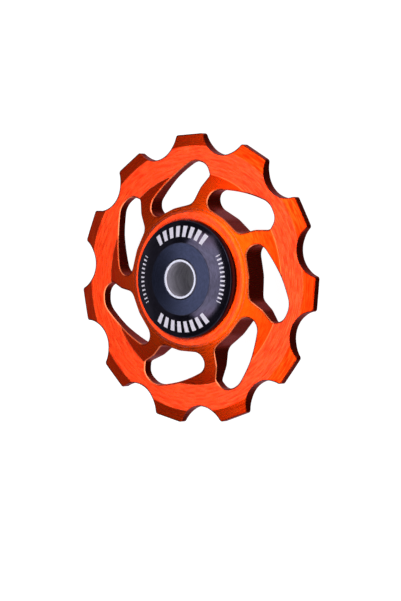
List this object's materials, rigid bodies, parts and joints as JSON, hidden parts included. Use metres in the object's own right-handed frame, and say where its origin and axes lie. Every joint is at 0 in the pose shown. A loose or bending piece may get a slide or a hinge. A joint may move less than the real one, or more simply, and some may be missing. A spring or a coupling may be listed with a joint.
{
  "type": "derailleur jockey wheel",
  "caption": "Toothed chain guide wheel with a dished, windowed web, turning on a covered ball bearing and an axle sleeve.",
  "frame": {"origin": "on the wheel's axis, halfway through the rim and the sleeve's bore", "axes": "+Z along the axis, out of the face that is seen; +Y is up as the wheel is seen face on"},
  "size_m": [0.0425, 0.0422, 0.0084],
  "materials": {
    "wheel_orange": "turned and milled, bright orange anodised",
    "cover_black": "turned, satin black anodised",
    "sleeve_steel": "turned, polished end faces",
    "bearing_steel": "ground and polished",
    "seal_rubber": "matt moulded",
    "cage_nylon": "natural nylon",
    "ball_ceramic": "polished ceramic"
  },
  "bodies": {
    "axle": {"axle_sleeve": "sleeve_steel", "front_cover": "cover_black", "back_cover": "cover_black", "bearing_inner_ring": "bearing_steel"},
    "wheel": {"pulley_wheel": "wheel_orange", "bearing_outer_ring": "bearing_steel", "bearing_seal_front": "seal_rubber", "bearing_seal_back": "seal_rubber"},
    "cage": {"bearing_cage": "cage_nylon", "ball_1": "ball_ceramic", "ball_2": "ball_ceramic", "ball_3": "ball_ceramic", "ball_4": "ball_ceramic", "ball_5": "ball_ceramic", "ball_6": "ball_ceramic", "ball_7": "ball_ceramic", "ball_8": "ball_ceramic", "ball_9": "ball_ceramic"}
  },
  "joints": [
    {"name": "wheel_spin", "type": "hinge", "parent": "axle", "child": "wheel", "pos_m": [0, 0, 0], "axis": [0, 0, 1], "continuous": true},
    {"name": "cage_spin", "type": "hinge", "parent": "axle", "child": "cage", "pos_m": [0, 0, 0], "axis": [0, 0, 1], "continuous": true}
  ],
  "couplings": [
    {"joint": "cage_spin", "follows": "wheel_spin", "ratio": 0.5882}
  ]
}
